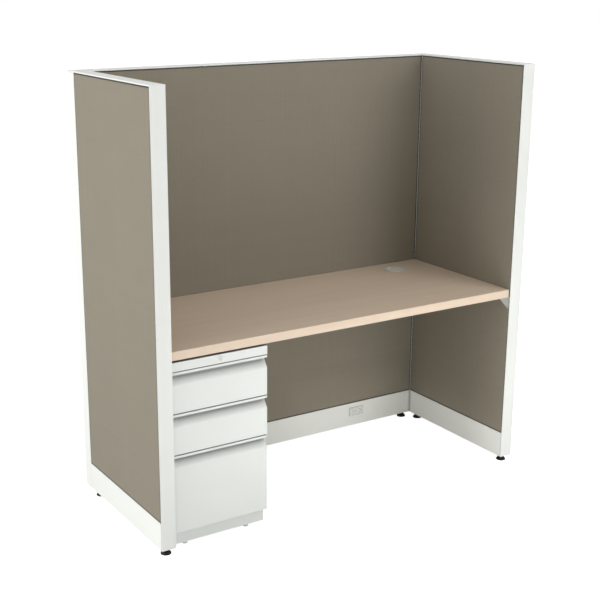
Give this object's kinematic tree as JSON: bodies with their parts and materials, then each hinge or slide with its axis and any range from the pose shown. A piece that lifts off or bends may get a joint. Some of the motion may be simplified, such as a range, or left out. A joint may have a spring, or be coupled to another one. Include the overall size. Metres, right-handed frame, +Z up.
{
  "type": "cubicle workstation",
  "caption": "Free-standing cubicle workstation: fabric panels on three sides of a laminate worksurface, with a drawer pedestal, base raceway and cable grommet.",
  "frame": {"origin": "middle of the footprint, on the floor under the glides", "axes": "+Z up; +Y to the back panel, so the open side faces -Y; +X to the right seen from the open side"},
  "size_m": [1.638, 0.67, 1.642],
  "materials": {
    "white_paint": "smooth satin powder coat",
    "pedestal_paint": "fine-textured powder coat",
    "white_plastic": "moulded, satin",
    "panel_fabric": "close plain weave, taupe and stone yarns",
    "frame_paint": "dark matt powder coat",
    "bracket_paint": "pale grey powder coat",
    "zinc_steel": "bright zinc plate",
    "lock_metal": "satin nickel",
    "black_plastic": "moulded nylon",
    "maple_laminate": "satin laminate with fine straight grain",
    "maple_band": "satin edge band with fine grain",
    "grommet_plastic": "moulded, satin"
  },
  "bodies": {
    "workstation": {"panel_uprights": "frame_paint", "panel_rails": "frame_paint", "base_channels": "frame_paint", "slotted_standards": "frame_paint", "panel_connectors": "zinc_steel", "worksurface_screws": "zinc_steel", "outer_slides": "zinc_steel", "left_outer_tile": "panel_fabric", "left_inner_tile": "panel_fabric", "back_outer_tile": "panel_fabric", "back_inner_tile": "panel_fabric", "right_outer_tile": "panel_fabric", "right_inner_tile": "panel_fabric", "left_top_cap": "white_paint", "back_top_cap": "white_paint", "right_top_cap": "white_paint", "left_outer_base_cover": "white_paint", "left_inner_base_cover": "white_paint", "back_outer_base_cover": "white_paint", "back_inner_base_cover": "white_paint", "right_outer_base_cover": "white_paint", "right_inner_base_cover": "white_paint", "left_corner_post": "white_paint", "right_corner_post": "white_paint", "front_end_trims": "white_paint", "right_front_bracket": "bracket_paint", "right_rear_bracket": "bracket_paint", "left_rear_bracket": "bracket_paint", "corner_post_caps": "white_plastic", "duplex_receptacle": "white_plastic", "power_harness": "black_plastic", "worksurface": "maple_laminate", "worksurface_edge_band": "maple_band", "grommet_liner": "grommet_plastic", "pedestal_case": "pedestal_paint"},
    "top_drawer": {"top_drawer_front": "pedestal_paint", "top_drawer_body": "pedestal_paint", "top_inner_slides": "zinc_steel"},
    "top_slide_members": {"top_middle_slides": "zinc_steel"},
    "middle_drawer": {"middle_drawer_front": "pedestal_paint", "middle_drawer_body": "pedestal_paint", "middle_inner_slides": "zinc_steel"},
    "middle_slide_members": {"middle_middle_slides": "zinc_steel"},
    "file_drawer": {"file_drawer_front": "pedestal_paint", "file_drawer_body": "pedestal_paint", "file_inner_slides": "zinc_steel"},
    "file_slide_members": {"file_middle_slides": "zinc_steel"},
    "lock": {"lock_plug": "lock_metal"},
    "lock_bar": {"lock_bar": "zinc_steel"},
    "grommet_cap": {"grommet_cap": "grommet_plastic"},
    "left_front_glide": {"left_front_glide": "black_plastic"},
    "left_rear_glide": {"left_rear_glide": "black_plastic"},
    "back_left_glide": {"back_left_glide": "black_plastic"},
    "back_right_glide": {"back_right_glide": "black_plastic"},
    "right_rear_glide": {"right_rear_glide": "black_plastic"},
    "right_front_glide": {"right_front_glide": "black_plastic"},
    "pedestal_front_left_glide": {"pedestal_front_left_glide": "zinc_steel"},
    "pedestal_front_right_glide": {"pedestal_front_right_glide": "zinc_steel"},
    "pedestal_rear_left_glide": {"pedestal_rear_left_glide": "zinc_steel"},
    "pedestal_rear_right_glide": {"pedestal_rear_right_glide": "zinc_steel"}
  },
  "joints": [
    {"name": "top_drawer_slide", "type": "slide", "parent": "workstation", "child": "top_drawer", "axis": [0, -1, 0], "range_m": [0, 0.45]},
    {"name": "top_members_slide", "type": "slide", "parent": "workstation", "child": "top_slide_members", "axis": [0, -1, 0], "range_m": [0, 0.225]},
    {"name": "middle_drawer_slide", "type": "slide", "parent": "workstation", "child": "middle_drawer", "axis": [0, -1, 0], "range_m": [0, 0.45]},
    {"name": "middle_members_slide", "type": "slide", "parent": "workstation", "child": "middle_slide_members", "axis": [0, -1, 0], "range_m": [0, 0.225]},
    {"name": "file_drawer_slide", "type": "slide", "parent": "workstation", "child": "file_drawer", "axis": [0, -1, 0], "range_m": [0, 0.45]},
    {"name": "file_members_slide", "type": "slide", "parent": "workstation", "child": "file_slide_members", "axis": [0, -1, 0], "range_m": [0, 0.225]},
    {"name": "lock_turn", "type": "hinge", "parent": "workstation", "child": "lock", "pos_m": [-0.5685, -0.3235, 0.6935], "axis": [0, 1, 0], "range_deg": [0, 90]},
    {"name": "lock_bar_slide", "type": "slide", "parent": "workstation", "child": "lock_bar", "axis": [0, 0, -1], "range_m": [0, 0.01]},
    {"name": "grommet_cap_turn", "type": "hinge", "parent": "workstation", "child": "grommet_cap", "pos_m": [0.568, 0.171, 0.751], "axis": [0, 0, 1], "continuous": true},
    {"name": "left_front_glide_screw", "type": "slide", "parent": "workstation", "child": "left_front_glide", "axis": [0, 0, -1], "range_m": [0, 0.025]},
    {"name": "left_rear_glide_screw", "type": "slide", "parent": "workstation", "child": "left_rear_glide", "axis": [0, 0, -1], "range_m": [0, 0.025]},
    {"name": "back_left_glide_screw", "type": "slide", "parent": "workstation", "child": "back_left_glide", "axis": [0, 0, -1], "range_m": [0, 0.025]},
    {"name": "back_right_glide_screw", "type": "slide", "parent": "workstation", "child": "back_right_glide", "axis": [0, 0, -1], "range_m": [0, 0.025]},
    {"name": "right_rear_glide_screw", "type": "slide", "parent": "workstation", "child": "right_rear_glide", "axis": [0, 0, -1], "range_m": [0, 0.025]},
    {"name": "right_front_glide_screw", "type": "slide", "parent": "workstation", "child": "right_front_glide", "axis": [0, 0, -1], "range_m": [0, 0.025]},
    {"name": "pedestal_front_left_glide_screw", "type": "slide", "parent": "workstation", "child": "pedestal_front_left_glide", "axis": [0, 0, -1], "range_m": [0, 0.015]},
    {"name": "pedestal_front_right_glide_screw", "type": "slide", "parent": "workstation", "child": "pedestal_front_right_glide", "axis": [0, 0, -1], "range_m": [0, 0.015]},
    {"name": "pedestal_rear_left_glide_screw", "type": "slide", "parent": "workstation", "child": "pedestal_rear_left_glide", "axis": [0, 0, -1], "range_m": [0, 0.015]},
    {"name": "pedestal_rear_right_glide_screw", "type": "slide", "parent": "workstation", "child": "pedestal_rear_right_glide", "axis": [0, 0, -1], "range_m": [0, 0.015]}
  ],
  "couplings": [
    {"joint": "top_members_slide", "follows": "top_drawer_slide", "ratio": 0.5},
    {"joint": "middle_members_slide", "follows": "middle_drawer_slide", "ratio": 0.5},
    {"joint": "file_members_slide", "follows": "file_drawer_slide", "ratio": 0.5},
    {"joint": "lock_bar_slide", "follows": "lock_turn", "m_per_rad": 0.006366}
  ]
}
